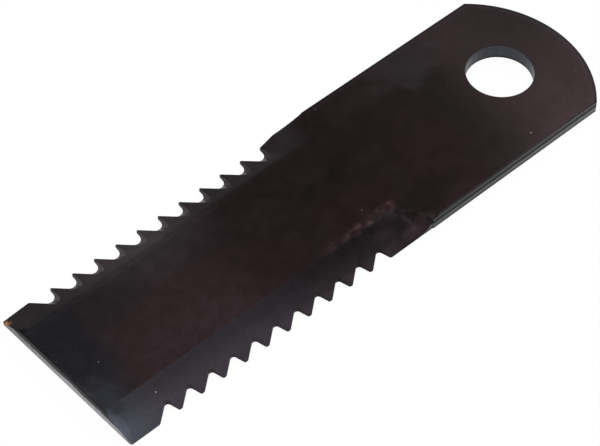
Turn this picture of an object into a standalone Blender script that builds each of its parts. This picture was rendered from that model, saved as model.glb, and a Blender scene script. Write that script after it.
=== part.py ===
# Straw chopper knife: a flat steel blade with a round shank end, one bolt hole and two serrated edges.
# It lies on its flat underside, hole end towards +X, in metres.

import math
from typing import NamedTuple

import bmesh
import bpy
from mathutils import Vector

MM = 0.001

# Plate
BLADE_LENGTH = 173.0 * MM
BLADE_WIDTH = 50.0 * MM
THICKNESS = 4.0 * MM
CORNER_RADIUS = 1.0 * MM
DIE_ROLL_WIDTH = 0.4 * MM
DIE_ROLL_DEPTH = 0.5 * MM

# Shank
END_RADIUS = 33.4 * MM
HOLE_DIAMETER = 18.5 * MM
HOLE_TO_END = 22.6 * MM
HOLE_RIM_RADIUS = 0.3 * MM

# Ground bevels. Each edge's thickness is given at the nose, along the teeth and at the heel, which is
# where the grinding wheel starts to lift out towards the shank.
EDGE_INSET = 0.2 * MM
BEVEL_TAPER = 9.5 * MM

NEAR_BEVEL_WIDTH = 9.7 * MM
NEAR_NOSE_THICKNESS = 0.35 * MM
NEAR_EDGE_THICKNESS = 0.35 * MM
NEAR_HEEL_THICKNESS = 0.45 * MM
NEAR_RUN_OUT = 4.5 * MM
NEAR_HOLE_TO_BEVEL = 49.5 * MM

FAR_BEVEL_WIDTH = 8.4 * MM
FAR_NOSE_THICKNESS = 0.4 * MM
FAR_EDGE_THICKNESS = 1.1 * MM
FAR_HEEL_THICKNESS = 2.7 * MM
FAR_RUN_OUT = 11.4 * MM
FAR_HOLE_TO_BEVEL = 48.7 * MM

# Serration
HOLE_TO_TEETH = 64.55 * MM
PLAIN_TIP = 8.0 * MM
TOOTH_PITCH = 7.05 * MM
CREST_DROP = 0.12 * MM

# The near gullets go straight through the bevel
NEAR_CREST_WIDTH = 0.95 * MM
NEAR_CREST_RADIUS = 0.4 * MM
NEAR_FLANK_ANGLE = math.radians(38.5)
NEAR_HOOK_ANGLE = math.radians(14.0)
NEAR_GULLET_RADIUS = 0.9 * MM
NEAR_GROOVE_TILT = math.radians(0.0)
NEAR_GROOVE_SKEW = math.radians(0.0)

# The far gullets slant back across the bevel
FAR_CREST_WIDTH = 0.35 * MM
FAR_CREST_RADIUS = 0.15 * MM
FAR_FLANK_ANGLE = math.radians(45.0)
FAR_HOOK_ANGLE = math.radians(6.0)
FAR_GULLET_RADIUS = 1.8 * MM
FAR_GROOVE_TILT = math.radians(46.0)
FAR_GROOVE_SKEW = math.radians(7.5)

# Facets
END_SEGMENTS = 48
HOLE_SEGMENTS = 72
CORNER_SEGMENTS = 4
EDGE_SEGMENTS = 5
NOSE_SEGMENTS = 4
HEEL_SEGMENTS = 5
RUN_OUT_SEGMENTS = 8
ACROSS_SEGMENTS = 6
GULLET_SEGMENTS = 10
CREST_SEGMENTS = 3

# How far a cutter stands past the metal
CLEAR = 2.0 * MM

# Worked out from the sizes above
HALF_WIDTH = BLADE_WIDTH / 2
FREE_END_X = -BLADE_LENGTH / 2
ROUND_END_X = BLADE_LENGTH / 2
END_CENTRE_X = ROUND_END_X - END_RADIUS
HOLE_X = ROUND_END_X - HOLE_TO_END
EDGE_Y = HALF_WIDTH - EDGE_INSET
TEETH_START_X = HOLE_X - HOLE_TO_TEETH
TOOTH_COUNT = int((TEETH_START_X - PLAIN_TIP - FREE_END_X) / TOOTH_PITCH)


class Edge(NamedTuple):
    """The sizes of one cutting edge. side is -1 for the near edge and 1 for the far one."""

    side: float
    bevel_width: float
    nose_thickness: float
    edge_thickness: float
    heel_thickness: float
    run_out: float
    hole_to_bevel: float
    crest_width: float
    crest_radius: float
    flank_angle: float
    hook_angle: float
    gullet_radius: float
    groove_tilt: float
    groove_skew: float


NEAR_EDGE = Edge(
    side=-1.0,
    bevel_width=NEAR_BEVEL_WIDTH,
    nose_thickness=NEAR_NOSE_THICKNESS,
    edge_thickness=NEAR_EDGE_THICKNESS,
    heel_thickness=NEAR_HEEL_THICKNESS,
    run_out=NEAR_RUN_OUT,
    hole_to_bevel=NEAR_HOLE_TO_BEVEL,
    crest_width=NEAR_CREST_WIDTH,
    crest_radius=NEAR_CREST_RADIUS,
    flank_angle=NEAR_FLANK_ANGLE,
    hook_angle=NEAR_HOOK_ANGLE,
    gullet_radius=NEAR_GULLET_RADIUS,
    groove_tilt=NEAR_GROOVE_TILT,
    groove_skew=NEAR_GROOVE_SKEW,
)
FAR_EDGE = Edge(
    side=1.0,
    bevel_width=FAR_BEVEL_WIDTH,
    nose_thickness=FAR_NOSE_THICKNESS,
    edge_thickness=FAR_EDGE_THICKNESS,
    heel_thickness=FAR_HEEL_THICKNESS,
    run_out=FAR_RUN_OUT,
    hole_to_bevel=FAR_HOLE_TO_BEVEL,
    crest_width=FAR_CREST_WIDTH,
    crest_radius=FAR_CREST_RADIUS,
    flank_angle=FAR_FLANK_ANGLE,
    hook_angle=FAR_HOOK_ANGLE,
    gullet_radius=FAR_GULLET_RADIUS,
    groove_tilt=FAR_GROOVE_TILT,
    groove_skew=FAR_GROOVE_SKEW,
)


def clear_scene():
    for old in list(bpy.data.objects):
        bpy.data.objects.remove(old, do_unlink=True)


def arc(centre, radius, start, end, segments):
    """Points along an arc in the plane, from one angle to another, both ends included."""
    step = (end - start) / segments
    return [
        (centre[0] + radius * math.cos(start + step * i), centre[1] + radius * math.sin(start + step * i))
        for i in range(segments + 1)
    ]


def plate_outline(inset):
    """The blank's outline seen from above, anticlockwise, moved in by an even inset."""
    half = HALF_WIDTH - inset
    radius = END_RADIUS - inset
    end_angle = math.asin(half / radius)
    corner = CORNER_RADIUS - inset
    corner_x = FREE_END_X + inset + corner
    corner_y = half - corner
    points = arc((END_CENTRE_X, 0.0), radius, -end_angle, end_angle, END_SEGMENTS)
    points += arc((corner_x, corner_y), corner, math.pi / 2, math.pi, CORNER_SEGMENTS)
    points += arc((corner_x, -corner_y), corner, math.pi, math.pi * 1.5, CORNER_SEGMENTS)
    return points


def loft(rings, name):
    """A closed mesh through rings of equally many points, with its two end rings filled."""
    bm = bmesh.new()
    loops = [[bm.verts.new(point) for point in ring] for ring in rings]
    count = len(loops[0])
    for lower, upper in zip(loops, loops[1:]):
        for i in range(count):
            following = (i + 1) % count
            bm.faces.new((lower[i], lower[following], upper[following], upper[i]))
    bm.faces.new(list(reversed(loops[0])))
    bm.faces.new(loops[-1])
    bmesh.ops.recalc_face_normals(bm, faces=bm.faces)
    mesh = bpy.data.meshes.new(name)
    bm.to_mesh(mesh)
    bm.free()
    mesh.shade_smooth()
    mesh.set_sharp_from_angle(angle=math.radians(30.0))
    return mesh


def add_object(name, mesh):
    new = bpy.data.objects.new(name, mesh)
    bpy.context.scene.collection.objects.link(new)
    return new


def steel():
    """Hardened spring steel under its dark brown scale."""
    material = bpy.data.materials.new("scaled_steel")
    material.use_nodes = True
    shader = material.node_tree.nodes["Principled BSDF"]
    shader.inputs["Base Color"].default_value = (0.028, 0.019, 0.020, 1.0)
    shader.inputs["Metallic"].default_value = 0.6
    shader.inputs["Roughness"].default_value = 0.42
    return material


def blank():
    """The blanked plate: a sharp lower edge, and the upper edge that the die has rolled over."""
    rings = [[(x, y, 0.0) for x, y in plate_outline(0.0)]]
    for i in range(EDGE_SEGMENTS + 1):
        turn = math.pi / 2 * i / EDGE_SEGMENTS
        inset = DIE_ROLL_WIDTH * (1.0 - math.cos(turn))
        height = THICKNESS - DIE_ROLL_DEPTH * (1.0 - math.sin(turn))
        rings.append([(x, y, height) for x, y in plate_outline(inset)])
    return loft(rings, "blade")


def hole_cutter():
    """A turned punch, wider at the top by the rolled rim of the hole."""
    radius = HOLE_DIAMETER / 2
    profile = [(radius, -CLEAR)]
    for i in range(EDGE_SEGMENTS + 1):
        turn = math.pi / 2 * i / EDGE_SEGMENTS
        wider = HOLE_RIM_RADIUS * (1.0 - math.cos(turn))
        profile.append((radius + wider, THICKNESS - HOLE_RIM_RADIUS * (1.0 - math.sin(turn))))
    profile.append((radius + HOLE_RIM_RADIUS, THICKNESS + CLEAR))
    full_turn = 2.0 * math.pi
    rings = []
    for reach, height in profile:
        ring = arc((HOLE_X, 0.0), reach, 0.0, full_turn, HOLE_SEGMENTS)[:-1]
        rings.append([(x, y, height) for x, y in ring])
    return loft(rings, "hole_cutter")


def bevel_section(side, x, edge_thickness, slope, inset):
    """One section across a bevel cutter. Its floor climbs inwards from the edge and out of the steel."""
    land = HALF_WIDTH - inset
    outer = HALF_WIDTH + CLEAR
    reach = (THICKNESS - edge_thickness) / slope + CLEAR
    ceiling = THICKNESS + slope * CLEAR + CLEAR
    corners = []
    for i in range(ACROSS_SEGMENTS + 1):
        inward = reach * (1.0 - i / ACROSS_SEGMENTS)
        corners.append((land - inward, edge_thickness + slope * inward))
    corners += [(land, -CLEAR), (outer, -CLEAR), (outer, ceiling), (land - reach, ceiling)]
    return [(x, side * y, z) for y, z in corners]


def bevel_cutter(edge):
    """The grinding pass along one edge, which lifts out of the steel in an arc at the shank."""
    end_x = HOLE_X - edge.hole_to_bevel
    heel_x = end_x - edge.run_out
    stations = [(FREE_END_X - CLEAR, edge.nose_thickness)]
    for i in range(NOSE_SEGMENTS + 1):
        part = i / NOSE_SEGMENTS
        thickness = edge.nose_thickness + (edge.edge_thickness - edge.nose_thickness) * part
        stations.append((FREE_END_X + PLAIN_TIP * part, thickness))
    for i in range(HEEL_SEGMENTS):
        part = i / HEEL_SEGMENTS
        x = TEETH_START_X + (heel_x - TEETH_START_X) * part
        stations.append((x, edge.edge_thickness + (edge.heel_thickness - edge.edge_thickness) * part))
    rise = THICKNESS - edge.heel_thickness
    wheel_radius = (edge.run_out**2 + rise**2) / (2.0 * rise)
    swept = math.asin(edge.run_out / wheel_radius)
    for i in range(RUN_OUT_SEGMENTS):
        turn = swept * i / RUN_OUT_SEGMENTS
        along = wheel_radius * math.sin(turn)
        lift = wheel_radius * (1.0 - math.cos(turn))
        stations.append((heel_x + along, edge.heel_thickness + lift))

    sections = []
    for x, thickness in stations:
        tapered = max(0.0, 1.0 - (end_x - x) / BEVEL_TAPER)
        slope = (THICKNESS - thickness) / (edge.bevel_width * (1.0 - tapered**2))
        sections.append(bevel_section(edge.side, x, thickness, slope, EDGE_INSET))
    sections.append(bevel_section(edge.side, end_x, THICKNESS, slope, -EDGE_INSET))
    return loft(sections, "bevel_cutter")


def round_corner(before, corner, after, radius, segments):
    """Points of an arc that is tangent to both lines meeting at a corner."""
    corner = Vector(corner)
    back = (Vector(before) - corner).normalized()
    ahead = (Vector(after) - corner).normalized()
    half_angle = back.angle(ahead) / 2
    middle = (back + ahead).normalized()
    centre = corner + middle * (radius / math.sin(half_angle))
    first = corner + back * (radius / math.tan(half_angle)) - centre
    last = corner + ahead * (radius / math.tan(half_angle)) - centre
    turn = first.angle_signed(last)
    start = math.atan2(first.y, first.x)
    return arc(centre, radius, start, start - turn, segments)


def gullet_profile(edge):
    """One gullet and the tooth crests beside it, seen from above.

    x runs from one tooth's tip to the next one nearer the shank, and y is the depth in from the edge.
    The long flank slopes in, the round bottom turns, and the hooked flank comes back out.
    """
    leaves = (edge.crest_width, CREST_DROP)
    returns = (TOOTH_PITCH, CREST_DROP)
    next_leaves = (TOOTH_PITCH + edge.crest_width, CREST_DROP)
    opening = TOOTH_PITCH - edge.crest_width
    depth = opening / (1.0 / math.tan(edge.flank_angle) + math.tan(edge.hook_angle))
    bottom = (edge.crest_width + depth / math.tan(edge.flank_angle), CREST_DROP + depth)
    points = round_corner((0.0, CREST_DROP), leaves, bottom, edge.crest_radius, CREST_SEGMENTS)
    points += round_corner(leaves, bottom, returns, edge.gullet_radius, GULLET_SEGMENTS)
    points += round_corner(bottom, returns, next_leaves, edge.crest_radius, CREST_SEGMENTS)
    return points


def gullet_cutter(edge):
    """All the gullets of one edge. The tool's path may lean back across the bevel and to one side."""
    gullet = gullet_profile(edge)
    first_tip = TEETH_START_X - TOOTH_PITCH * TOOTH_COUNT
    outline = [(first_tip - CLEAR, -CLEAR)]
    for i in range(TOOTH_COUNT):
        tip = first_tip + TOOTH_PITCH * i
        outline += [(tip + x, depth) for x, depth in gullet]
    outline.append((TEETH_START_X + CLEAR, -CLEAR))

    rings = []
    for height in (-CLEAR, THICKNESS + CLEAR):
        aside = -math.tan(edge.groove_skew) * height
        back = math.tan(edge.groove_tilt) * (height - edge.edge_thickness)
        ring = [(x + aside, edge.side * (EDGE_Y - depth - back), height) for x, depth in outline]
        rings.append(ring)
    return loft(rings, "gullet_cutter")


def cut(target, name, mesh):
    """Takes a cutter's volume out of a piece."""
    cutter = add_object(name, mesh)
    cutter.hide_render = True
    cutter.display_type = "WIRE"
    boolean = target.modifiers.new(name, "BOOLEAN")
    boolean.operation = "DIFFERENCE"
    boolean.solver = "EXACT"
    boolean.object = cutter


def build():
    clear_scene()
    blade = add_object("blade", blank())
    blade.data.materials.append(steel())
    cut(blade, "hole_cutter", hole_cutter())
    cut(blade, "near_bevel_cutter", bevel_cutter(NEAR_EDGE))
    cut(blade, "far_bevel_cutter", bevel_cutter(FAR_EDGE))
    cut(blade, "near_gullet_cutter", gullet_cutter(NEAR_EDGE))
    cut(blade, "far_gullet_cutter", gullet_cutter(FAR_EDGE))


build()
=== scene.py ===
"""Looks for a straw chopper knife: its hardening scale, ground edges and sheared walls, and a white table.

Run it as a script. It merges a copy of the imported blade, sorts its faces into the surfaces that the tools
left on the steel, gives each surface its finish, and lights it on a plain white table.
"""

import math

import bmesh
import bpy
from mathutils import Matrix, Vector


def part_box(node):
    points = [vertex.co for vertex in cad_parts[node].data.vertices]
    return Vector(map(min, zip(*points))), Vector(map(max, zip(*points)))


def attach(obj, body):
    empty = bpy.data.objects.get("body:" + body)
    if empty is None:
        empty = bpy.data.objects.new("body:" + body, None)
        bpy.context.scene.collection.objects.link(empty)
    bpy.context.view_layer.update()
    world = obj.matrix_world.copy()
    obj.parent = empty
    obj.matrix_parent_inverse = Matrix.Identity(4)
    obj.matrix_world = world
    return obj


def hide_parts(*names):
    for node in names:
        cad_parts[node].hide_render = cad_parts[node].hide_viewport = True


bl_info = {
    "name": "Straw chopper knife",
    "version": (1, 0, 0),
    "blender": (4, 5, 0),
    "location": "View3D > Sidebar > Chopper knife",
    "description": "Finishes a saw-edged straw chopper knife and sets it on a white table",
    "category": "Object",
}

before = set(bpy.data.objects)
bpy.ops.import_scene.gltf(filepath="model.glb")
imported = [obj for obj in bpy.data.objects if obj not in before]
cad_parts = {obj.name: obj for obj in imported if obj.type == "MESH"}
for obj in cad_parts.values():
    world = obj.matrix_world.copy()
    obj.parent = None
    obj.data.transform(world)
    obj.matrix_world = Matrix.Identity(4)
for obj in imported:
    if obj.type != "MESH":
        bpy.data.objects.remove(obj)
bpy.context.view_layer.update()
BLADE_LOW, BLADE_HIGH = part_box("blade")

MM = 0.001
FREE_END = BLADE_LOW.x
ROUND_END = BLADE_HIGH.x
HALF_WIDTH = (BLADE_HIGH.y - BLADE_LOW.y) / 2

SURFACES = ("scaled", "gullet", "wall", "free_end", "bore")

# Limits on a face's unit normal, which tell the surfaces apart.
STEEP_RISE = 0.9
WALL_RISE = 0.3
GULLET_RISE = 0.2
GULLET_TURN = 0.1
FREE_END_TURN = -0.7

WHITE = (1.0, 1.0, 1.0)
STEEL_METALLIC = 0.8
SCALE_SPECULAR = 0.10
GULLET_SPECULAR = 0.15
WALL_SPECULAR = 0.20
SCALE_RELIEF = 0.010 * MM
GULLET_RELIEF = 0.012 * MM
WALL_RELIEF = 0.020 * MM
EDGE_SAMPLES = 6

# Values between which a noise pattern mostly lies.
NOISE_LOW = 0.3
NOISE_HIGH = 0.7

# Squares of the distance from a patch's centre, with its reach as 1, between which its share dies away.
PATCH_CORE = 0.2
PATCH_BORDER = 1.4

# Radii of a dot, as shares of the space that it has, between which it dies away.
DOT_CORE = 0.04
DOT_BORDER = 0.15

# Patches of scale: centre and reach, each along and across the blade in millimetres, and share.
PLUM_PATCHES = (
    ((29.0, 0.0), (17.0, 28.0), 1.0),  # across the start of the shank
    ((3.0, -9.0), (17.0, 11.0), 1.0),  # beside the near bevel's last teeth
    ((-26.0, -8.0), (11.0, 10.0), 1.0),  # beside its middle teeth
    ((-37.0, 8.0), (9.0, 11.0), 1.0),  # beside the far bevel's middle teeth
)
BROWN_PATCHES = (
    ((47.0, -4.0), (6.0, 24.0), 1.0),  # across the shank, before the hole
    ((-6.0, 9.0), (12.0, 7.0), 0.6),  # beside the far bevel's last teeth
)
SHOULDER_PATCHES = (
    ((10.5, -24.0), (4.8, 3.2), 0.48),  # outer corner of the near run-out
    ((4.3, -16.6), (2.4, 1.4), 0.25),  # under the burr
    ((1.5, -19.0), (3.5, 2.2), 0.50),  # behind the last tooth
)
# Patches of painted light, where the share is above 0, and of painted shade, where it is below 0, in the
# same columns.
SHADE_PATCHES = (
    ((11.7, -21.6), (1.7, 3.0), 0.50),  # steep end of the near run-out
    ((10.1, -19.2), (1.3, 1.8), 0.70),  # its inner end
    ((18.0, -17.5), (12.0, 5.0), -0.26),  # the face past it
    ((24.0, -7.0), (27.0, 15.0), -0.12),  # start of the shank
    ((-47.0, 13.0), (6.5, 11.0), 0.16),  # beside the far bevel's working half
    ((43.0, 17.0), (9.0, 7.0), 0.10),  # far side of the shank
    ((52.0, -1.0), (4.5, 6.0), 0.14),  # before the hole
    ((-86.0, -20.4), (1.8, 4.4), 0.36),  # near corner of the free end
)

SENSOR_WIDTH = 36.0
TABLE_DROP = 0.02 * MM
TABLE_GREY = (0.8, 0.8, 0.8)
TABLE_ROUGHNESS = 0.9
TABLE_GLOW = 1.03
TABLE_GLOW_SHARE = 0.93


class BladeSettings(bpy.types.PropertyGroup):
    """The sizes that tell one surface of the blade from the next."""

    merge_distance: bpy.props.FloatProperty(
        name="Merge distance",
        description="Corners of the packed triangles closer than this become one",
        default=0.002 * MM,
        precision=6,
        unit="LENGTH",
    )
    flat_angle: bpy.props.FloatProperty(
        name="Flat angle",
        description="Neighbouring faces that differ by less than this become one flat face",
        default=math.radians(0.3),
        subtype="ANGLE",
    )
    smooth_angle: bpy.props.FloatProperty(
        name="Smooth angle",
        description="Faces that meet at less than this look rounded into each other",
        default=math.radians(31.0),
        subtype="ANGLE",
    )
    crease_angle: bpy.props.FloatProperty(
        name="Crease angle",
        description="A large flat face keeps a crisp border where its neighbour turns more than this",
        default=math.radians(6.0),
        subtype="ANGLE",
    )
    large_face: bpy.props.FloatProperty(
        name="Large face",
        description="Area from which a flat face counts as large",
        default=30.0 * MM * MM,
        precision=6,
        unit="AREA",
    )
    near_bevel: bpy.props.FloatProperty(
        name="Near bevel",
        description="How far the near ground bevel reaches in from its edge",
        default=9.9 * MM,
        unit="LENGTH",
    )
    far_bevel: bpy.props.FloatProperty(
        name="Far bevel",
        description="How far the far ground bevel reaches in from its edge",
        default=8.6 * MM,
        unit="LENGTH",
    )
    bevel_end: bpy.props.FloatProperty(
        name="Bevel end",
        description="Where the ground bevels run out at the shank, along the blade from its middle",
        default=14.8 * MM,
        unit="LENGTH",
    )
    row_start: bpy.props.FloatProperty(
        name="Row start",
        description="Where the rows of gullets start at the free end, along the blade from its middle",
        default=FREE_END + 3.0 * MM,
        unit="LENGTH",
    )
    row_end: bpy.props.FloatProperty(
        name="Row end",
        description="Where the rows of gullets end, along the blade from its middle",
        default=1.0 * MM,
        unit="LENGTH",
    )
    gullet_depth: bpy.props.FloatProperty(
        name="Gullet depth",
        description="How far the gullets between the teeth reach in from the edge",
        default=6.5 * MM,
        unit="LENGTH",
    )
    tooth_land: bpy.props.FloatProperty(
        name="Tooth land",
        description="Depth of the sheared land that stays at the tip of each tooth",
        default=0.3 * MM,
        precision=5,
        unit="LENGTH",
    )
    hole_centre: bpy.props.FloatProperty(
        name="Hole centre",
        description="Where the bolt hole is, along the blade from its middle",
        default=63.9 * MM,
        unit="LENGTH",
    )
    hole_radius: bpy.props.FloatProperty(
        name="Hole radius",
        description="Radius of the bolt hole",
        default=9.25 * MM,
        unit="LENGTH",
    )
    end_centre: bpy.props.FloatProperty(
        name="End centre",
        description="Centre of the round end's curve, along the blade from its middle",
        default=53.1 * MM,
        unit="LENGTH",
    )
    wall_reach: bpy.props.FloatProperty(
        name="Wall reach",
        description="A face this close to the hole's or the free end's true wall belongs to it",
        default=1.0 * MM,
        unit="LENGTH",
    )
    burnish_height: bpy.props.FloatProperty(
        name="Burnish height",
        description="Height of the burnished band on the sheared walls",
        default=1.40 * MM,
        unit="LENGTH",
    )
    shear_height: bpy.props.FloatProperty(
        name="Shear height",
        description="Height of the dark line on the sheared walls, where the cut turns into a tear",
        default=2.35 * MM,
        unit="LENGTH",
    )
    soft_radius: bpy.props.FloatProperty(
        name="Softened edge",
        description="Radius that handling and scale have put on every sharp edge",
        default=0.12 * MM,
        precision=5,
        unit="LENGTH",
    )
    bevel_softness: bpy.props.FloatProperty(
        name="Bevel softness",
        description="Widest radius over which the borders of the ground bevels look blended",
        default=1.4 * MM,
        unit="LENGTH",
    )


class FinishSettings(bpy.types.PropertyGroup):
    """The colours of the steel, as they look under plain white light."""

    brown_scale: bpy.props.FloatVectorProperty(
        name="Brown scale",
        description="Thick dark hardening scale over the middle of the face",
        subtype="COLOR",
        default=(0.0050, 0.0031, 0.0030),
    )
    plum_scale: bpy.props.FloatVectorProperty(
        name="Plum scale",
        description="Redder patches in the dark scale",
        subtype="COLOR",
        default=(0.0067, 0.0026, 0.0029),
    )
    thin_scale: bpy.props.FloatVectorProperty(
        name="Thin scale",
        description="Lighter, thinner scale towards the free end and round the bolt hole",
        subtype="COLOR",
        default=(0.0216, 0.0132, 0.0148),
    )
    blue_scale: bpy.props.FloatVectorProperty(
        name="Blue scale",
        description="Cooler scale across the free end",
        subtype="COLOR",
        default=(0.0115, 0.0110, 0.0132),
    )
    ground_scale: bpy.props.FloatVectorProperty(
        name="Ground scale",
        description="Greyer scale over the ground bevels and gullets",
        subtype="COLOR",
        default=(0.0126, 0.0095, 0.0105),
    )
    bevel_scale: bpy.props.FloatVectorProperty(
        name="Bevel scale",
        description="Lighter scale over the working half of the near bevel",
        subtype="COLOR",
        default=(0.0195, 0.0158, 0.0190),
    )
    grey_scale: bpy.props.FloatVectorProperty(
        name="Grey scale",
        description="Lighter grey scale on the working half of the far bevel and in patches on the face",
        subtype="COLOR",
        default=(0.0215, 0.0180, 0.0200),
    )
    shoulder_scale: bpy.props.FloatVectorProperty(
        name="Shoulder scale",
        description="Pinkish patches where the bevels run out at the shank",
        subtype="COLOR",
        default=(0.0240, 0.0155, 0.0170),
    )
    # Painted shade: a dark colour laid along the far and the round rim, and along the near bevel's border
    # at its run-out.
    rim_and_border_shade: bpy.props.FloatVectorProperty(
        name="Edge scale",
        description="Thick scale and grime along the rolled rims and under the burr",
        subtype="COLOR",
        default=(0.0040, 0.0038, 0.0045),
    )
    tip_scale: bpy.props.FloatVectorProperty(
        name="Tip scale",
        description="Bluish steel that shows through at the free end's near corner",
        subtype="COLOR",
        default=(0.0250, 0.0268, 0.0330),
    )
    burr: bpy.props.FloatVectorProperty(
        name="Burr",
        description="Reddish burr where the near bevel meets the face",
        subtype="COLOR",
        default=(0.054, 0.031, 0.033),
    )
    bare_steel: bpy.props.FloatVectorProperty(
        name="Bare steel",
        description="Burnished band on the sheared walls, and dots where the scale has come off",
        subtype="COLOR",
        default=(0.105, 0.107, 0.113),
    )
    # On the near rims this colour also serves as painted highlight.
    torn_steel: bpy.props.FloatVectorProperty(
        name="Torn steel",
        description="Torn upper part of the sheared walls, worn rims and the lighter grain of the gullets",
        subtype="COLOR",
        default=(0.064, 0.064, 0.068),
    )
    low_steel: bpy.props.FloatVectorProperty(
        name="Low steel",
        description="Foot of the sheared walls, below the burnished band",
        subtype="COLOR",
        default=(0.052, 0.054, 0.058),
    )
    shear_line: bpy.props.FloatVectorProperty(
        name="Shear line",
        description="Dark line between the burnished and the torn part of the sheared walls",
        subtype="COLOR",
        default=(0.006, 0.006, 0.008),
    )
    bore_steel: bpy.props.FloatVectorProperty(
        name="Bore steel",
        description="Bluish grey wall of the punched hole",
        subtype="COLOR",
        default=(0.050, 0.053, 0.064),
    )
    end_steel: bpy.props.FloatVectorProperty(
        name="End steel",
        description="Bright steel along the foot of the free end",
        subtype="COLOR",
        default=(0.36, 0.365, 0.385),
    )
    rust: bpy.props.FloatVectorProperty(
        name="Rust",
        description="Light rust at the free end's far corner",
        subtype="COLOR",
        default=(0.40, 0.16, 0.045),
    )
    scale_glance: bpy.props.FloatVectorProperty(
        name="Scale at a glance",
        description="Tint of the light that the scale reflects at a low angle",
        subtype="COLOR",
        default=(0.94, 0.88, 0.885),
    )
    gullet_glance: bpy.props.FloatVectorProperty(
        name="Gullets at a glance",
        description="Tint of the light that the gullets reflect at a low angle",
        subtype="COLOR",
        default=(0.75, 0.70, 0.72),
    )
    wall_glance: bpy.props.FloatVectorProperty(
        name="Walls at a glance",
        description="Tint of the light that the sheared walls reflect at a low angle",
        subtype="COLOR",
        default=(0.72, 0.72, 0.72),
    )
    end_glance: bpy.props.FloatVectorProperty(
        name="Free end at a glance",
        description="Tint of the light that the free end's wall reflects at a low angle",
        subtype="COLOR",
        default=(0.70, 0.70, 0.70),
    )


class StageSettings(bpy.types.PropertyGroup):
    """The camera and the soft light."""

    azimuth: bpy.props.FloatProperty(
        name="Azimuth",
        description="Direction that the camera looks in, turned from +Y about the vertical",
        default=math.radians(-43.166),
        subtype="ANGLE",
    )
    elevation: bpy.props.FloatProperty(
        name="Elevation",
        description="Height of the camera above the table, as an angle",
        default=math.radians(49.782),
        subtype="ANGLE",
    )
    roll: bpy.props.FloatProperty(
        name="Roll",
        description="Turn of the camera about its own line of sight",
        default=math.radians(0.753),
        subtype="ANGLE",
    )
    distance: bpy.props.FloatProperty(
        name="Distance",
        description="Distance from the camera to the point that it looks at",
        default=613.896 * MM,
        unit="LENGTH",
    )
    target: bpy.props.FloatVectorProperty(
        name="Target",
        description="Point on the table that the camera looks at",
        default=(-9.83 * MM, -0.70 * MM, 0.0),
        subtype="XYZ",
        unit="LENGTH",
    )
    lens: bpy.props.FloatProperty(
        name="Lens",
        description="Focal length on a 36 mm wide sensor",
        default=143.524,
        subtype="DISTANCE_CAMERA",
    )
    table_size: bpy.props.FloatProperty(
        name="Table size",
        description="Width of the white table",
        default=6.0,
        unit="LENGTH",
    )
    ambient: bpy.props.FloatProperty(
        name="Ambient light",
        description="Strength of the even light from all round",
        default=0.45,
    )
    overhead_strength: bpy.props.FloatProperty(
        name="Overhead lamp",
        description="How bright the overhead lamp's face looks, where 1 is white",
        default=7.0,
    )
    far_strength: bpy.props.FloatProperty(
        name="Far lamp",
        description="How bright the far lamp's face looks, where 1 is white",
        default=11.0,
    )


def colour(value):
    """A plain colour gets its alpha, and a node's output is passed on."""
    if isinstance(value, bpy.types.NodeSocket):
        return value
    return (*value, 1.0)


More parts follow.
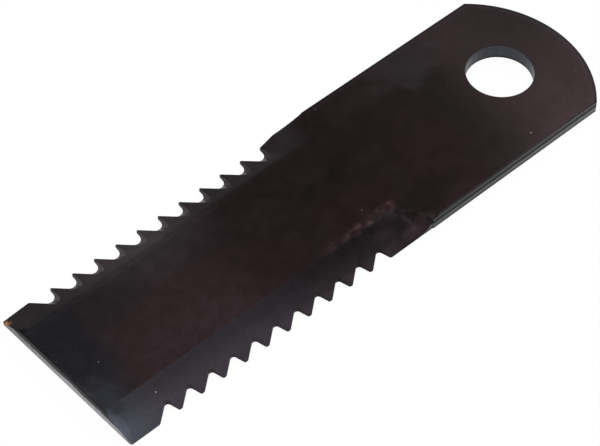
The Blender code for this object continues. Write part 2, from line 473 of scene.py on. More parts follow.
class Finish:
    """A steel finish: a material whose pattern is built in millimetres of the blade's own space."""

    def __init__(self, name, specular, soft_radius, glance=WHITE):
        self.material = bpy.data.materials.new(name)
        self.material.use_nodes = True
        self.tree = self.material.node_tree
        self.shader = self.tree.nodes["Principled BSDF"]
        self.shader.inputs["Metallic"].default_value = STEEL_METALLIC
        self.shader.inputs["Specular IOR Level"].default_value = specular
        self.shader.inputs["Specular Tint"].default_value = colour(glance)
        self.soft_radius = soft_radius
        self.object_space = self.tree.nodes.new("ShaderNodeTexCoord").outputs["Object"]
        self.place = self.stretched(1.0, 1.0, 1.0)
        axes = self.tree.nodes.new("ShaderNodeSeparateXYZ")
        self.tree.links.new(self.place, axes.inputs["Vector"])
        self.x = axes.outputs["X"]
        self.y = axes.outputs["Y"]
        self.z = axes.outputs["Z"]

    def feed(self, socket, value):
        """Links a socket to another node's output, or sets it to a plain value."""
        if isinstance(value, bpy.types.NodeSocket):
            self.tree.links.new(value, socket)
        else:
            socket.default_value = value

    def stretched(self, *scale):
        """Object coordinates in millimetres, times a scale for each axis."""
        mapping = self.tree.nodes.new("ShaderNodeMapping")
        self.tree.links.new(self.object_space, mapping.inputs["Vector"])
        mapping.inputs["Scale"].default_value = [axis / MM for axis in scale]
        return mapping.outputs["Vector"]

    def math(self, operation, first, second=0.0):
        """One step of arithmetic on plain values or nodes' outputs."""
        node = self.tree.nodes.new("ShaderNodeMath")
        node.operation = operation
        self.feed(node.inputs[0], first)
        self.feed(node.inputs[1], second)
        return node.outputs[0]

    def chain(self, operation, values):
        """Takes the values together, two at a time, by one operation."""
        result = values[0]
        for value in values[1:]:
            result = self.math(operation, result, value)
        return result

    def product(self, *values):
        return self.chain("MULTIPLY", values)

    def total(self, *values):
        return self.chain("ADD", values)

    def highest(self, *values):
        return self.chain("MAXIMUM", values)

    def less(self, value, taken):
        return self.math("SUBTRACT", value, taken)

    def noise(self, size, detail=3.0, roughness=0.55, place=None):
        """Noise from 0 to 1 whose patches are about size millimetres across."""
        node = self.tree.nodes.new("ShaderNodeTexNoise")
        self.tree.links.new(place or self.place, node.inputs["Vector"])
        node.inputs["Scale"].default_value = 1.0 / size
        node.inputs["Detail"].default_value = detail
        node.inputs["Roughness"].default_value = roughness
        return node.outputs["Fac"]

    def ramp(self, value, start, end, low=0.0, high=1.0):
        """Runs smoothly from low to high while value goes from start to end."""
        node = self.tree.nodes.new("ShaderNodeMapRange")
        node.interpolation_type = "SMOOTHSTEP"
        self.feed(node.inputs["Value"], value)
        self.feed(node.inputs["From Min"], start)
        self.feed(node.inputs["From Max"], end)
        self.feed(node.inputs["To Min"], low)
        self.feed(node.inputs["To Max"], high)
        return node.outputs["Result"]

    def fall(self, value, start, end):
        """Runs smoothly from 1 to 0 while value goes from start to end."""
        return self.ramp(value, start, end, 1.0, 0.0)

    def spread(self, noise, low, high):
        """Stretches a noise pattern over low to high."""
        return self.ramp(noise, NOISE_LOW, NOISE_HIGH, low, high)

    def band(self, value, centre, width, softness):
        """1 where value is within width of centre, falling to 0 over softness."""
        offset = self.math("ABSOLUTE", self.less(value, centre))
        return self.fall(offset, width, width + softness)

    def mix(self, factor, first, second, blend="MIX"):
        """Goes from the first colour to the second by factor, or by another way of blending."""
        node = self.tree.nodes.new("ShaderNodeMix")
        node.data_type = "RGBA"
        node.blend_type = blend
        self.feed(node.inputs["Factor"], factor)
        self.feed(node.inputs["A"], colour(first))
        self.feed(node.inputs["B"], colour(second))
        return node.outputs["Result"]

    def shaded(self, tint, shade):
        """Multiplies a colour by a shade, which leaves it as it is where it is 1."""
        return self.mix(1.0, tint, shade, "MULTIPLY")

    def finish(self, tint, roughness, height, depth, soft_radius=None):
        """Wires the pattern to the shader.

        depth is how deep the relief is, and soft_radius how far the edges are softened, in metres.
        """
        self.feed(self.shader.inputs["Base Color"], tint)
        self.feed(self.shader.inputs["Roughness"], roughness)
        edges = self.tree.nodes.new("ShaderNodeBevel")
        edges.samples = EDGE_SAMPLES
        self.feed(edges.inputs["Radius"], soft_radius or self.soft_radius)
        bump = self.tree.nodes.new("ShaderNodeBump")
        bump.inputs["Strength"].default_value = 1.0
        bump.inputs["Distance"].default_value = depth
        self.feed(bump.inputs["Height"], height)
        self.feed(bump.inputs["Normal"], edges.outputs["Normal"])
        self.feed(self.shader.inputs["Normal"], bump.outputs["Normal"])
        return self.material


class HardeningScale(Finish):
    """The scale on the rolled faces and the ground bevels, with what wear and handling did to it, and the
    light and shade painted over it.

    x runs along the blade from its middle and y across it, and near is the side of low y.
    """

    def __init__(self, sizes, colours):
        super().__init__("hardening_scale", SCALE_SPECULAR, sizes.soft_radius, colours.scale_glance)
        self.sizes = sizes
        self.colours = colours
        self.grain = self.noise(0.7, 4.0, 0.65)
        self.mottle = self.noise(4.0)
        self.ragged = self.spread(self.noise(6.0), -0.4, 0.4)
        self.across = self.total(self.y, self.spread(self.noise(5.0), -0.2, 0.2))

        bevel_end = sizes.bevel_end / MM
        self.near_line = (sizes.near_bevel - HALF_WIDTH) / MM
        self.far_line = (HALF_WIDTH - sizes.far_bevel) / MM
        self.on_blade = self.fall(self.x, bevel_end - 1.8, bevel_end + 0.7)
        self.on_shank = self.ramp(self.x, bevel_end + 0.5, bevel_end + 1.5)
        self.near_ground = self.fall(self.across, self.near_line - 0.7, self.near_line + 0.5)
        self.far_ground = self.ramp(self.across, self.far_line - 1.2, self.far_line + 1.2)
        self.working_half = self.band(self.x, -47.0, 6.0, 20.0)

        near_grey = self.product(self.near_ground, self.ramp(self.x, 0.0, 14.0, 1.0, 0.3), self.on_blade)
        far_part = self.product(self.ramp(self.x, -76.0, -56.0), self.fall(self.x, 6.0, 14.0))
        self.ground = self.highest(near_grey, self.product(self.far_ground, far_part))

    def patch(self, centre, reach, share):
        """Share over an oval with a ragged border, and 0 round it."""
        along = self.math("DIVIDE", self.less(self.x, centre[0]), reach[0])
        across = self.math("DIVIDE", self.less(self.y, centre[1]), reach[1])
        away = self.total(self.product(along, along), self.product(across, across))
        return self.ramp(self.total(away, self.ragged), PATCH_CORE, PATCH_BORDER, share, 0.0)

    def patches(self, places):
        return [self.patch(*place) for place in places]

    def specks(self, size, share):
        """Sparse dots: share is the part of the cells, size millimetres apart, that hold one."""
        cells = self.tree.nodes.new("ShaderNodeTexVoronoi")
        self.tree.links.new(self.place, cells.inputs["Vector"])
        cells.inputs["Scale"].default_value = 1.0 / size
        chosen = self.ramp(cells.outputs["Color"], 1.0 - share, 1.0 - share + 0.01)
        dot = self.fall(cells.outputs["Distance"], DOT_CORE, DOT_BORDER)
        return self.product(chosen, dot)

    def rolled_tint(self):
        """Brown and plum scale on the rolled face, thinner towards both ends, cool at the free end."""
        x = self.x
        y = self.y
        colours = self.colours
        plum_noise = self.ramp(self.noise(9.0, 4.0), 0.40, 0.62, 0.15, 0.75)
        plum = self.highest(plum_noise, *self.patches(PLUM_PATCHES))
        plum = self.less(plum, self.highest(*self.patches(BROWN_PATCHES)))
        tint = self.mix(plum, colours.brown_scale, colours.plum_scale)

        thin = self.total(
            self.ramp(x, -52.0, -18.0, 0.68, 0.0),
            self.ramp(x, -20.0, 12.0, 0.24, 0.0),
            self.ramp(x, 44.0, 62.0, 0.0, 0.46),
            self.spread(self.noise(10.0), -0.08, 0.10),
            self.patch((-27.0, -3.0), (8.0, 9.0), -0.12),
        )
        far_shoulder = self.patch((27.0, 22.0), (14.0, 8.0), 0.17)
        # Painted highlight on the far side of the shank, in grey scale.
        far_shank_highlight = self.patch((46.0, 20.0), (12.0, 10.0), 0.36)
        near_shank = self.patch((60.0, -21.0), (24.0, 7.0), 0.08)
        beside_far_bevel = self.product(self.working_half, self.ramp(y, 3.0, 16.0, 0.0, 0.95))
        tint = self.mix(thin, tint, colours.thin_scale)
        tint = self.mix(far_shoulder, tint, colours.shoulder_scale)
        tint = self.mix(far_shank_highlight, tint, colours.grey_scale)
        tint = self.mix(near_shank, tint, colours.grey_scale)
        tint = self.mix(beside_far_bevel, tint, colours.grey_scale)

        drift = self.spread(self.noise(9.0), -2.0, 2.0)
        slanted = self.total(x, self.product(y, -0.1), drift)
        cool_end = self.fall(slanted, -78.0, -71.0)
        cool_patch = self.patch((-67.0, 10.0), (9.0, 8.0), 0.5)
        near_corner = self.patch((-86.0, -12.5), (9.0, 7.5), 0.62)
        tint = self.mix(self.highest(cool_end, cool_patch), tint, colours.blue_scale)
        return self.mix(near_corner, tint, colours.tip_scale)

    def ground_tint(self, tint):
        """Greys both bevels, lightens their working halves, and reddens the near one's run-out."""
        colours = self.colours
        tint = self.mix(self.product(self.ground, 0.85), tint, colours.ground_scale)
        far_working = self.product(self.working_half, self.far_ground, 0.85)
        tint = self.mix(far_working, tint, colours.grey_scale)
        near_working = self.product(self.near_ground, self.fall(self.x, -46.0, -14.0))
        tint = self.mix(near_working, tint, colours.bevel_scale)
        near_tip = self.product(self.near_ground, self.fall(self.x, -92.0, -70.0))
        tint = self.mix(near_tip, tint, colours.tip_scale)
        for shoulder in self.patches(SHOULDER_PATCHES):
            tint = self.mix(shoulder, tint, colours.shoulder_scale)
        return tint

    def near_shade(self):
        """What is added to the shade on the near bevel: deeper inwards, lighter at the tooth tips."""
        x = self.x
        across = self.across
        deepening = self.product(
            self.ramp(across, -22.5, -16.0, 0.10, -0.40),
            self.near_ground,
            self.ramp(x, -45.0, -8.0, 1.0, 1.3),
            self.ramp(x, 1.0, 7.0, 1.0, 0.2),
        )
        tooth_tips = self.product(
            self.ramp(across, -21.3, -23.2, 0.0, 0.75),
            self.ramp(x, -40.0, -20.0),
            self.ramp(x, 0.0, 5.0, 1.0, 0.2),
        )
        run_out_hollow = self.product(
            self.band(x, 8.3, 1.1, 2.4),
            self.ramp(across, -22.6, -21.0, 0.0, -0.36),
            self.fall(across, -18.4, -17.4),
        )
        crease_normal = (0.764, 0.646)
        crease_offset = 3.6
        from_crease = self.total(
            self.product(x, crease_normal[0]),
            self.product(self.y, crease_normal[1]),
            crease_offset,
        )
        run_out_crease = self.product(
            self.band(from_crease, 0.1, 0.3, 0.6),
            self.ramp(self.y, -17.5, -19.5, 0.0, -0.36),
            self.ramp(x, 9.5, 11.0),
        )
        corner = self.product(self.patch((-83.8, -16.0), (2.6, 1.6), -0.20), self.near_ground)
        return self.total(deepening, tooth_tips, run_out_hollow, run_out_crease, corner)

    def far_shade(self):
        """What is added to 1 for the far bevel's own shade, which changes along the blade."""
        x = self.x
        run_out = self.product(self.ramp(x, -4.0, 2.0, 0.0, 1.25), self.ramp(self.y, 18.0, 22.0, 0.6, 1.0))
        along = self.total(
            self.ramp(x, -82.0, -54.0, -0.52, 0.36),
            self.ramp(x, -44.0, -24.0, 0.0, -0.85),
            run_out,
            self.ramp(x, 7.0, 11.0, 0.0, -0.25),
        )
        return self.product(along, self.far_ground, self.on_blade)

    def broad_shade(self):
        """The large lighter and darker parts, where 1 leaves the colour as it is."""
        near_to_far = self.ramp(self.across, -14.0, 14.0, 1.12, 0.86)
        beside_far_line = self.band(self.across, self.far_line - 0.7, 0.5, 0.6)
        far_crest = self.product(beside_far_line, self.ramp(self.x, 2.0, 6.0, 0.20, 0.0))
        shade = self.total(near_to_far, self.near_shade(), far_crest, *self.patches(SHADE_PATCHES))
        shade = self.product(shade, self.total(self.far_shade(), 1.0))
        to_round_end = self.ramp(self.x, 62.0, 86.0, 0.0, 0.42)
        to_far_side = self.ramp(self.y, -18.0, 14.0, 0.45, 1.25)
        return self.product(shade, self.less(1.0, self.product(to_round_end, to_far_side)))

    def from_far_rim(self):
        """How far in a point lies from the far side and from the round end, in millimetres."""
        centre = self.sizes.end_centre / MM
        along = self.less(self.x, centre)
        squared = self.total(self.product(along, along), self.product(self.y, self.y))
        from_round_end = self.less(ROUND_END / MM - centre, self.math("SQRT", squared))
        # Along the straight sides the round end counts as far away.
        well_inside = self.ramp(self.x, 62.0, 60.0, 0.0, 9.0)
        from_side = self.less(HALF_WIDTH / MM, self.y)
        return self.math("MINIMUM", from_side, self.highest(from_round_end, well_inside))

    def rim_tint(self, tint):
        """Lightens the near rim of the shank and the free end's rim with wear and painted highlight, and
        darkens the far and the round rim with painted shade, with a lighter line just inside it.
        """
        y = self.y
        edge = HALF_WIDTH / MM
        top = BLADE_HIGH.z / MM
        free_end = FREE_END / MM
        below_top = self.fall(self.z, top - 0.3, top - 0.03)
        rolled_down = self.product(below_top, self.fall(y, 1.0 - edge, 5.0 - edge))
        lit_and_worn_edge = self.highest(rolled_down, self.ramp(y, 0.1 - edge, 0.65 - edge, 0.40, 0.0))
        end_rim = self.ramp(self.x, free_end + 0.1, free_end + 0.9, 0.25, 0.0)
        lit_and_worn_end = self.product(end_rim, self.fall(y, -4.0, 8.0))
        # Wear and a painted highlight: the rims are lighter where their rollover catches the light.
        lit_and_worn = self.highest(self.product(self.on_shank, lit_and_worn_edge), lit_and_worn_end)
        tint = self.mix(lit_and_worn, tint, self.colours.torn_steel)

        inside = self.from_far_rim()
        light_line = self.product(self.band(inside, 1.4, 0.2, 0.4), self.on_shank, 0.22)
        tint = self.mix(light_line, tint, self.colours.bevel_scale)
        # Painted shade along the far and the round rim.
        rim_shade_line = self.product(self.fall(inside, 0.7, 1.1), self.on_shank, 0.6)
        return self.mix(rim_shade_line, tint, self.colours.rim_and_border_shade)

    def burr_tint(self, tint):
        """Lays a lumpy reddish burr, and a line of painted shade along the near bevel's border at its
        run-out.
        """
        x = self.x
        burr_line = self.band(self.across, self.near_line + 0.7, 0.6, 1.8)
        burr_part = self.product(self.ramp(x, -18.0, 3.0), self.fall(x, 8.5, 11.5))
        burr_lumps = self.ramp(self.noise(3.2, 3.0, 0.7), 0.43, 0.66, 0.10, 0.85)
        tint = self.mix(self.product(burr_line, burr_part, burr_lumps), tint, self.colours.burr)
        # Painted shade along the near bevel's border at its run-out.
        border_shade_line = self.band(self.across, self.near_line - 0.9, 0.2, 0.7)
        border_shade_part = self.product(self.ramp(x, -16.0, -6.0, 0.0, 0.35), self.fall(x, 4.0, 9.0))
        return self.mix(self.product(border_shade_line, border_shade_part), tint, self.colours.rim_and_border_shade)

    def rust_tint(self, tint):
        """Puts spots of rust on the free end's far corner."""
        edge = HALF_WIDTH / MM
        free_end = FREE_END / MM
        corner = self.product(
            self.fall(self.x, free_end + 0.1, free_end + 1.9),
            self.ramp(self.y, edge - 4.0, edge - 1.5),
        )
        spots = self.ramp(self.noise(1.3), 0.45, 0.6)
        return self.mix(self.product(corner, spots), tint, self.colours.rust)

    def worn_tint(self, tint):
        """Adds the grain and the mottle of the scale, and dots where it has come off."""
        fine_shade = self.total(self.spread(self.grain, 0.90, 1.12), self.spread(self.mottle, -0.08, 0.08))
        tint = self.shaded(tint, fine_shade)
        dots = self.product(self.specks(2.6, 0.16), self.ramp(self.noise(9.0, 2.0), 0.48, 0.58))
        return self.mix(dots, tint, self.colours.bare_steel)

    def roughness(self):
        """Roughness of the mottled scale, a little lower on the ground bevels."""
        return self.total(self.spread(self.mottle, 0.32, 0.38), self.product(self.ground, -0.03))

    def relief(self):
        """Grain with faint rolling lines along the blade and grinding marks across the bevels."""
        rolling_lines = self.noise(1.0, 2.0, place=self.stretched(0.05, 2.0, 1.0))
        grinding_marks = self.noise(1.0, place=self.stretched(2.2, 0.10, 1.0))
        return self.total(
            self.grain,
            self.product(rolling_lines, 0.6),
            self.product(grinding_marks, self.ground),
        )

    def edge_softness(self):
        """How far the shader softens an edge: furthest at the far bevel's border."""
        x = self.x
        far_weight = 1.7
        near_border = self.band(self.y, self.near_line, 0.8, 0.8)
        far_border = self.product(self.band(self.y, self.far_line, 1.4, 1.2), far_weight)
        borders = self.product(self.highest(near_border, far_border), self.fall(x, 5.0, 8.0))
        bevel_end = self.sizes.bevel_end / MM
        run_out = self.product(self.ramp(x, 4.0, 7.0), self.fall(x, bevel_end - 0.8, bevel_end + 0.7))
        softened = self.highest(borders, run_out)
        return self.ramp(softened, 0.0, far_weight, self.sizes.soft_radius, self.sizes.bevel_softness)


def scaled_finish(sizes, colours):
    """Semi-gloss hardening scale over the rolled faces and, greyer, over the ground bevels."""
    scale = HardeningScale(sizes, colours)
    tint = scale.ground_tint(scale.rolled_tint())
    tint = scale.shaded(tint, scale.broad_shade())
    tint = scale.rim_tint(tint)
    tint = scale.burr_tint(tint)
    tint = scale.rust_tint(tint)
    tint = scale.worn_tint(tint)
    return scale.finish(tint, scale.roughness(), scale.relief(), SCALE_RELIEF, scale.edge_softness())


def gullet_finish(sizes, colours):
    """Gullets: ground through the edge, with a fine grain, darker towards the shank."""
    finish = Finish("gullet_steel", GULLET_SPECULAR, sizes.soft_radius, colours.gullet_glance)
    grain = finish.noise(0.5, 3.0, 0.6)
    tint = finish.mix(finish.spread(grain, 0.2, 0.5), colours.ground_scale, colours.torn_steel)
    to_shank = finish.ramp(finish.x, -45.0, -8.0, 1.0, 0.3)
    roughness = finish.spread(grain, 0.36, 0.46)
    return finish.finish(finish.shaded(tint, to_shank), roughness, grain, GULLET_RELIEF)


def wall_finish(sizes, colours):
    """Sheared walls: a dull foot, a burnished band, a dark line, and torn steel above it."""
    finish = Finish("sheared_wall", WALL_SPECULAR, sizes.soft_radius, colours.wall_glance)
    streaks = finish.noise(1.0, place=finish.stretched(1.8, 1.8, 0.25))
    height = finish.total(finish.z, finish.spread(finish.noise(5.0, 2.0), -0.1, 0.1))
    above_foot = finish.ramp(height, 0.7, 1.1)
    burnished = finish.band(height, sizes.burnish_height / MM, 0.25, 0.45)
    sheared = finish.band(height, sizes.shear_height / MM, 0.26, 0.35)
    tint = finish.mix(above_foot, colours.low_steel, colours.torn_steel)
    tint = finish.mix(burnished, tint, colours.bare_steel)
    tint = finish.mix(sheared, tint, colours.shear_line)
    to_round_end = finish.ramp(finish.x, 20.0, 76.0, 0.92, 1.42)
    shade = finish.product(finish.spread(streaks, 0.85, 1.12), to_round_end)
    roughness = finish.ramp(height, 1.6, 2.2, 0.34, 0.46)
    return finish.finish(finish.shaded(tint, shade), roughness, streaks, WALL_RELIEF)


def free_end_finish(sizes, colours):
    """The free end's wall: bright steel at its foot, dark scale and painted shade along its top, and rust
    at one corner.
    """
    finish = Finish("free_end_wall", WALL_SPECULAR, sizes.soft_radius, colours.end_glance)
    streaks = finish.noise(1.0, place=finish.stretched(1.8, 1.4, 0.25))
    height = finish.total(finish.z, finish.spread(finish.noise(4.0, 2.0), -0.25, 0.25))
    # Dark scale, with painted shade, along the top of the wall.
    scaled_and_shaded_top = finish.ramp(height, 1.65, 2.40)
    far_corner = finish.ramp(finish.y, 21.0, 24.0)
    rust = finish.product(far_corner, finish.ramp(streaks, 0.4, 0.6))
    tint = finish.mix(scaled_and_shaded_top, colours.end_steel, colours.ground_scale)
    tint = finish.mix(rust, tint, colours.rust)
    to_far_side = finish.ramp(finish.y, -2.0, 16.0, 1.05, 0.68)
    shade = finish.product(finish.spread(streaks, 0.85, 1.12), to_far_side)
    return finish.finish(finish.shaded(tint, shade), 0.38, streaks, WALL_RELIEF)


def bore_finish(sizes, colours):
    """The punched hole's wall: streaked bluish grey, darker at its foot."""
    finish = Finish("hole_wall", WALL_SPECULAR, sizes.soft_radius)
    streaks = finish.noise(1.0, place=finish.stretched(1.6, 1.6, 0.2))
    above_foot = finish.ramp(finish.z, 0.2, 0.9)
    tint = finish.mix(above_foot, colours.ground_scale, colours.bore_steel)
    tint = finish.shaded(tint, finish.spread(streaks, 0.90, 1.08))
    return finish.finish(tint, 0.42, streaks, WALL_RELIEF)


def surface_tests(sizes):
    """Tests that know each surface's faces by normal and place, in the order in which they claim them."""

    def steep(face):
        return abs(face.normal.z) < STEEP_RISE

    def bore(face):
        centre = face.calc_center_median()
        from_hole = math.hypot(centre.x - sizes.hole_centre, centre.y)
        return steep(face) and from_hole < sizes.hole_radius + sizes.wall_reach

    def gullet(face):
        centre = face.calc_center_median()
        inward = HALF_WIDTH - abs(centre.y)
        in_row = sizes.row_start < centre.x < sizes.row_end
        in_gullet = sizes.tooth_land < inward < sizes.gullet_depth
        turned = abs(face.normal.x) > GULLET_TURN or face.normal.z < GULLET_RISE
        return steep(face) and turned and in_row and in_gullet

    def free_end(face):
        at_end = face.calc_center_median().x < FREE_END + sizes.wall_reach
        return at_end and face.normal.x < FREE_END_TURN

    def wall(face):
        return abs(face.normal.z) < WALL_RISE

    return {"bore": bore, "gullet": gullet, "free_end": free_end, "wall": wall}


def copied_blade(context):
    """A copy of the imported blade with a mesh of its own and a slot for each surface, left active."""
    bpy.ops.object.select_all(action="DESELECT")
    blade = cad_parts["blade"].copy()
    blade.data = blade.data.copy()
    blade.name = "ground_blade"
    blade.parent = None
    for key in list(blade.keys()):
        del blade[key]
    context.collection.objects.link(blade)
    context.view_layer.objects.active = blade
    blade.select_set(True)
    bpy.ops.mesh.customdata_custom_splitnormals_clear()
    blade.data.materials.clear()
    for surface in SURFACES:
        blade.data.materials.append(bpy.data.materials.new(surface))
    return blade


def merge_triangles(sizes):
    """In edit mode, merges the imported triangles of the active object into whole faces."""
    bpy.ops.mesh.select_mode(type="FACE")
    bpy.ops.mesh.select_all(action="SELECT")
    bpy.ops.mesh.remove_doubles(threshold=sizes.merge_distance)
    bpy.ops.mesh.dissolve_limited(angle_limit=sizes.flat_angle, delimit={"NORMAL"})
    bpy.ops.mesh.faces_shade_smooth()


def sort_faces(blade, sizes):
    """In edit mode, gives each surface's faces their slot. What no test claims stays scaled."""
    blade.active_material_index = SURFACES.index("scaled")
    bpy.ops.object.material_slot_assign()
    claimed = set()
    for surface, test in surface_tests(sizes).items():
        bpy.ops.mesh.select_all(action="DESELECT")
        mesh = bmesh.from_edit_mesh(blade.data)
        found = {face.index for face in mesh.faces if face.index not in claimed and test(face)}
        for face in mesh.faces:
            face.select_set(face.index in found)
        mesh.select_flush_mode()
        bmesh.update_edit_mesh(blade.data)
        claimed |= found
        blade.active_material_index = SURFACES.index(surface)
        bpy.ops.object.material_slot_assign()
    if not claimed:
        raise RuntimeError("no ground, torn or sheared faces were found on the blade")


def crease_borders(blade, sizes):
    """In edit mode, marks the borders of the rolled faces and the bevels, so that each looks flat."""

    def large(face):
        return abs(face.normal.z) > STEEP_RISE and face.calc_area() > sizes.large_face

    bpy.ops.mesh.select_mode(type="EDGE")
    bpy.ops.mesh.select_all(action="DESELECT")
    mesh = bmesh.from_edit_mesh(blade.data)
    for edge in mesh.edges:
        turned = edge.calc_face_angle(0.0) > sizes.crease_angle
        edge.select_set(turned and any(large(face) for face in edge.link_faces))
    bmesh.update_edit_mesh(blade.data)
    bpy.ops.mesh.mark_sharp()


def flatten_faces(blade):
    """Turns the corners' normals to those of the larger faces that meet there."""
    weights = blade.modifiers.new("flat_faces", "WEIGHTED_NORMAL")
    weights.keep_sharp = True
    weights.weight = 100
    weights.thresh = 0.0
    bpy.ops.object.modifier_apply(modifier=weights.name)


class KNIFE_OT_blade(bpy.types.Operator):
    """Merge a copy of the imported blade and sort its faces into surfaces"""

    bl_idname = "chopper_knife.blade"
    bl_label = "Blade"

    def execute(self, context):
        sizes = context.scene.chopper_blade
        blade = copied_blade(context)
        bpy.ops.object.mode_set(mode="EDIT")
        merge_triangles(sizes)
        sort_faces(blade, sizes)
        bpy.ops.object.mode_set(mode="OBJECT")
        bpy.ops.object.shade_smooth_by_angle(angle=sizes.smooth_angle)
        bpy.ops.object.mode_set(mode="EDIT")
        crease_borders(blade, sizes)
        bpy.ops.object.mode_set(mode="OBJECT")
        flatten_faces(blade)
        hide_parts("blade")
        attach(blade, "root")
        return {"FINISHED"}


class KNIFE_OT_finish(bpy.types.Operator):
    """Give each surface of the blade its finish"""

    bl_idname = "chopper_knife.finish"
    bl_label = "Steel finish"

    def execute(self, context):
        sizes = context.scene.chopper_blade
        colours = context.scene.chopper_finish
        blade = bpy.data.objects["ground_blade"]
        recipes = {
            "scaled": scaled_finish,
            "gullet": gullet_finish,
            "wall": wall_finish,
            "free_end": free_end_finish,
            "bore": bore_finish,
        }
        for index, surface in enumerate(SURFACES):
            blade.material_slots[index].material = recipes[surface](sizes, colours)
        return {"FINISHED"}


def softbox(name, azimuth, elevation, distance, size, strength, tint):
    """A square lamp that faces the blade, azimuth degrees round from +Y towards +X.

    strength is how bright its face looks, where 1 is white.
    """
    azimuth = math.radians(azimuth)
    elevation = math.radians(elevation)
    out = Vector((
        math.cos(elevation) * math.sin(azimuth),
        math.cos(elevation) * math.cos(azimuth),
        math.sin(elevation),
    ))
    data = bpy.data.lights.new(name, "AREA")
    data.shape = "SQUARE"
    data.size = size
    data.energy = strength * math.pi * size * size
    data.color = tint
    lamp = bpy.data.objects.new(name, data)
    bpy.context.collection.objects.link(lamp)
    lamp.location = out * distance
    lamp.rotation_euler = out.to_track_quat("Z", "Y").to_euler()


def white_to_camera(tree, plain, white):
    """Shows white to the camera, to mirrors and through glass, and plain to every other ray."""
    path = tree.nodes.new("ShaderNodeLightPath")
    seen = path.outputs["Is Camera Ray"]
    for kind in ("Is Glossy Ray", "Is Transmission Ray"):
        either = tree.nodes.new("ShaderNodeMath")
        either.operation = "MAXIMUM"
        tree.links.new(seen, either.inputs[0])
        tree.links.new(path.outputs[kind], either.inputs[1])
        seen = either.outputs[0]
    mix = tree.nodes.new("ShaderNodeMixShader")
    tree.links.new(seen, mix.inputs[0])
    tree.links.new(plain, mix.inputs[1])
    tree.links.new(white, mix.inputs[2])
    return mix.outputs[0]


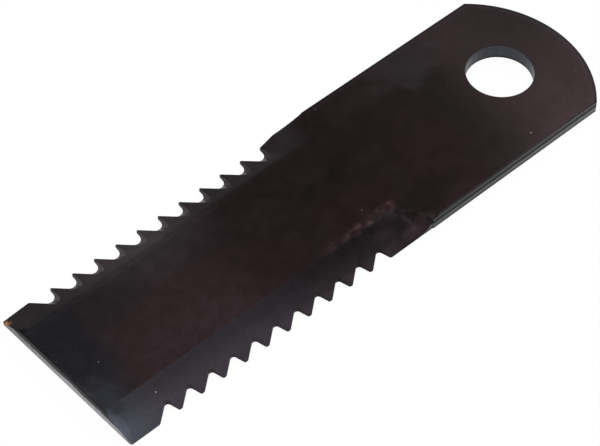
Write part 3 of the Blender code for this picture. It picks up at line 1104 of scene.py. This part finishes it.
class KNIFE_OT_stage(bpy.types.Operator):
    """Set the white table, the even light, the soft lamps and the camera"""

    bl_idname = "chopper_knife.stage"
    bl_label = "Table, light and camera"

    def execute(self, context):
        stage = context.scene.chopper_stage
        self.table(context, stage)
        self.surroundings(context, stage)
        softbox(
            "overhead_lamp",
            azimuth=125,
            elevation=80,
            distance=1.2,
            size=0.40,
            strength=stage.overhead_strength,
            tint=(0.84, 0.94, 1.0),
        )
        softbox(
            "far_lamp",
            azimuth=66,
            elevation=34,
            distance=1.4,
            size=0.45,
            strength=stage.far_strength,
            tint=(1.0, 0.99, 0.98),
        )
        self.camera(context, stage)
        context.scene.view_settings.view_transform = "Standard"
        return {"FINISHED"}

    def table(self, context, stage):
        bpy.ops.object.select_all(action="DESELECT")
        bpy.ops.mesh.primitive_plane_add(size=stage.table_size, location=(0, 0, -TABLE_DROP))
        table = context.active_object
        table.name = "table"
        material = bpy.data.materials.new("white_table")
        material.use_nodes = True
        tree = material.node_tree
        matt = tree.nodes["Principled BSDF"]
        matt.inputs["Base Color"].default_value = colour(TABLE_GREY)
        matt.inputs["Roughness"].default_value = TABLE_ROUGHNESS
        glow = tree.nodes.new("ShaderNodeEmission")
        glow.inputs["Strength"].default_value = TABLE_GLOW
        glowing = tree.nodes.new("ShaderNodeMixShader")
        glowing.inputs[0].default_value = TABLE_GLOW_SHARE
        tree.links.new(matt.outputs[0], glowing.inputs[1])
        tree.links.new(glow.outputs[0], glowing.inputs[2])
        shown = white_to_camera(tree, matt.outputs[0], glowing.outputs[0])
        tree.links.new(shown, tree.nodes["Material Output"].inputs["Surface"])
        table.data.materials.append(material)

    def surroundings(self, context, stage):
        world = bpy.data.worlds.new("even_light")
        context.scene.world = world
        world.use_nodes = True
        tree = world.node_tree
        plain = tree.nodes["Background"]
        plain.inputs["Color"].default_value = colour(WHITE)
        plain.inputs["Strength"].default_value = stage.ambient
        white = tree.nodes.new("ShaderNodeBackground")
        white.inputs["Color"].default_value = colour(WHITE)
        shown = white_to_camera(tree, plain.outputs[0], white.outputs[0])
        tree.links.new(shown, tree.nodes["World Output"].inputs["Surface"])

    def camera(self, context, stage):
        bpy.ops.object.camera_add()
        camera = context.active_object
        camera.name = "photo_camera"
        right = Vector((math.cos(stage.azimuth), math.sin(stage.azimuth), 0.0))
        level = Vector((-math.sin(stage.azimuth), math.cos(stage.azimuth), 0.0))
        back = Vector((0, 0, 1)) * math.sin(stage.elevation) - level * math.cos(stage.elevation)
        up = back.cross(right)
        turned_right = right * math.cos(stage.roll) + up * math.sin(stage.roll)
        turned_up = up * math.cos(stage.roll) - right * math.sin(stage.roll)
        turn = Matrix((turned_right, turned_up, back)).transposed().to_4x4()
        place = Vector(stage.target) + back * stage.distance
        camera.matrix_world = Matrix.Translation(place) @ turn
        camera.data.sensor_fit = "HORIZONTAL"
        camera.data.sensor_width = SENSOR_WIDTH
        camera.data.lens = stage.lens
        camera.data.clip_start = 10 * MM
        camera.data.dof.use_dof = False
        context.scene.camera = camera


class KNIFE_PT_panel(bpy.types.Panel):
    """Sizes, colours and the steps that make the knife"""

    bl_idname = "KNIFE_PT_panel"
    bl_label = "Straw chopper knife"
    bl_space_type = "VIEW_3D"
    bl_region_type = "UI"
    bl_category = "Chopper knife"

    def draw(self, context):
        layout = self.layout
        steps = (
            ("chopper_knife.blade", context.scene.chopper_blade),
            ("chopper_knife.finish", context.scene.chopper_finish),
            ("chopper_knife.stage", context.scene.chopper_stage),
        )
        for step, settings in steps:
            box = layout.box()
            for name in settings.__annotations__:
                box.prop(settings, name)
            box.operator(step)


CLASSES = (
    BladeSettings,
    FinishSettings,
    StageSettings,
    KNIFE_OT_blade,
    KNIFE_OT_finish,
    KNIFE_OT_stage,
    KNIFE_PT_panel,
)


def register():
    for cls in CLASSES:
        bpy.utils.register_class(cls)
    bpy.types.Scene.chopper_blade = bpy.props.PointerProperty(type=BladeSettings)
    bpy.types.Scene.chopper_finish = bpy.props.PointerProperty(type=FinishSettings)
    bpy.types.Scene.chopper_stage = bpy.props.PointerProperty(type=StageSettings)


def unregister():
    del bpy.types.Scene.chopper_stage
    del bpy.types.Scene.chopper_finish
    del bpy.types.Scene.chopper_blade
    for cls in reversed(CLASSES):
        bpy.utils.unregister_class(cls)


def main():
    register()
    bpy.ops.chopper_knife.blade()
    bpy.ops.chopper_knife.finish()
    bpy.ops.chopper_knife.stage()


if __name__ == "__main__":
    main()
